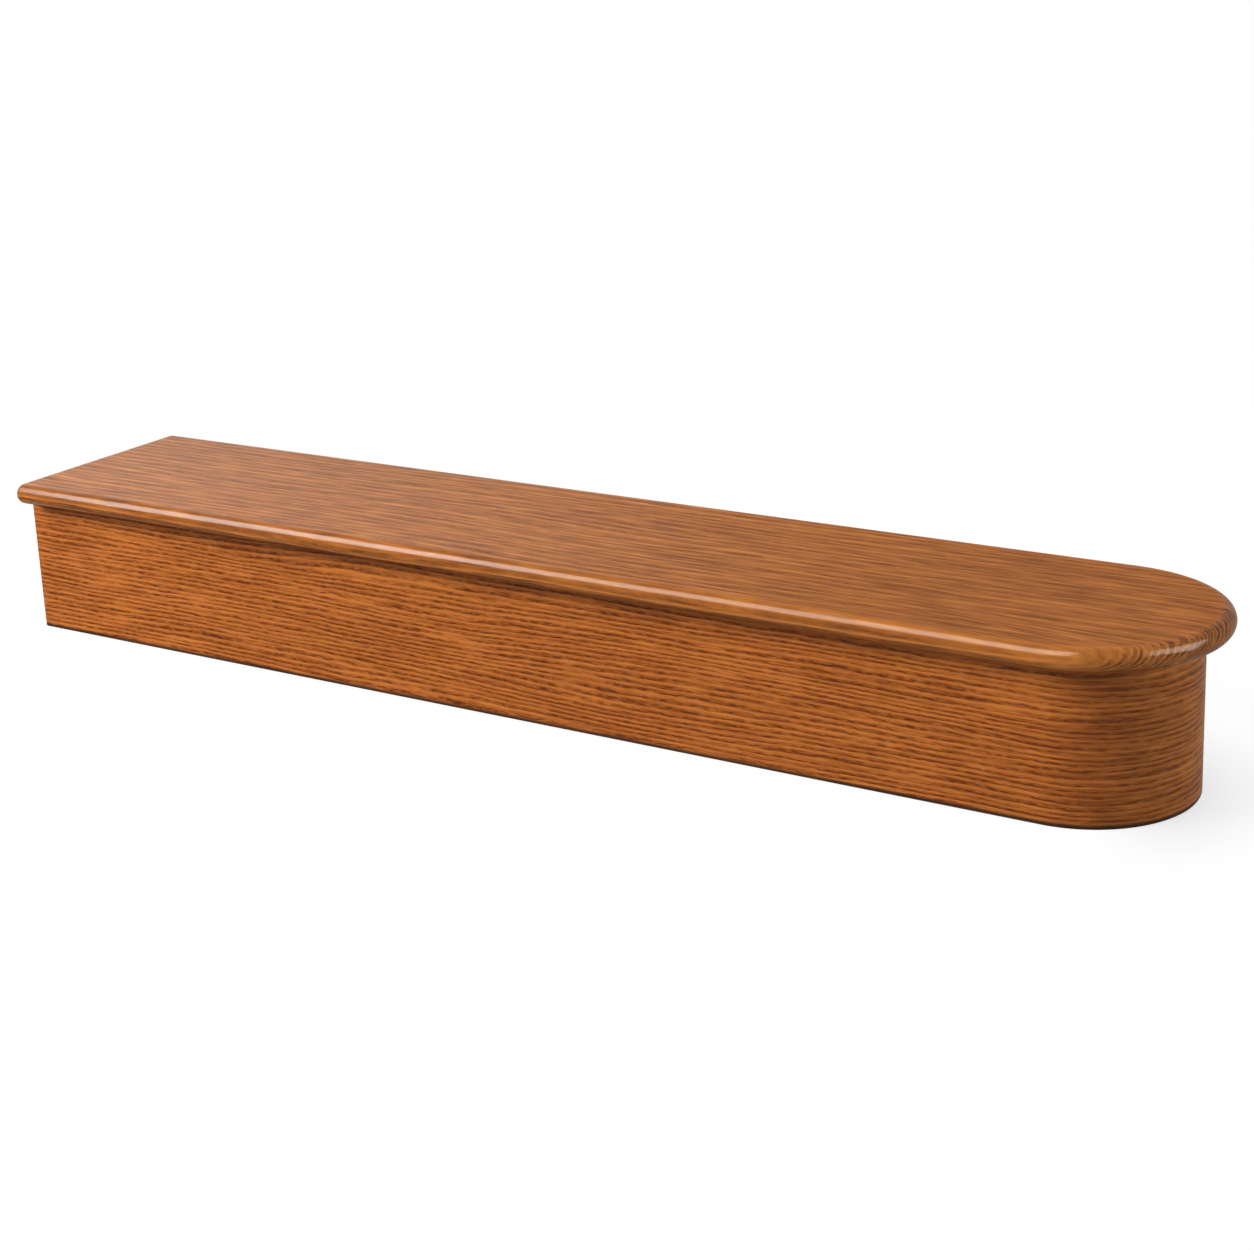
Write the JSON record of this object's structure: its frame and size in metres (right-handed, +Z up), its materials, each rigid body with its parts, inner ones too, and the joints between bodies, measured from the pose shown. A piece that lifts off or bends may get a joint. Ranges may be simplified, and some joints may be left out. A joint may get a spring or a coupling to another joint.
{
  "type": "bullnose starting step",
  "caption": "Stained oak starting step for a stair: a tread with a half-round nosing and one half-round end, on a riser bent round that end and open behind.",
  "frame": {"origin": "on the floor, below the middle of the tread's length and depth", "axes": "+X along the tread to the round end, -Y to the front nosing, +Z up to the walking surface"},
  "size_m": [1.5238, 0.292, 0.1969],
  "materials": {
    "tread_oak": "stained oak, satin varnish",
    "riser_oak": "stained oak veneer, satin varnish",
    "former_plywood": "bare plywood",
    "glue_block_pine": "bare pine"
  },
  "bodies": {
    "root": {"tread": "tread_oak", "riser": "riser_oak", "lower_former": "former_plywood", "upper_former": "former_plywood", "glue_block_1": "glue_block_pine", "glue_block_2": "glue_block_pine", "glue_block_3": "glue_block_pine", "glue_block_4": "glue_block_pine"}
  },
  "joints": []
}
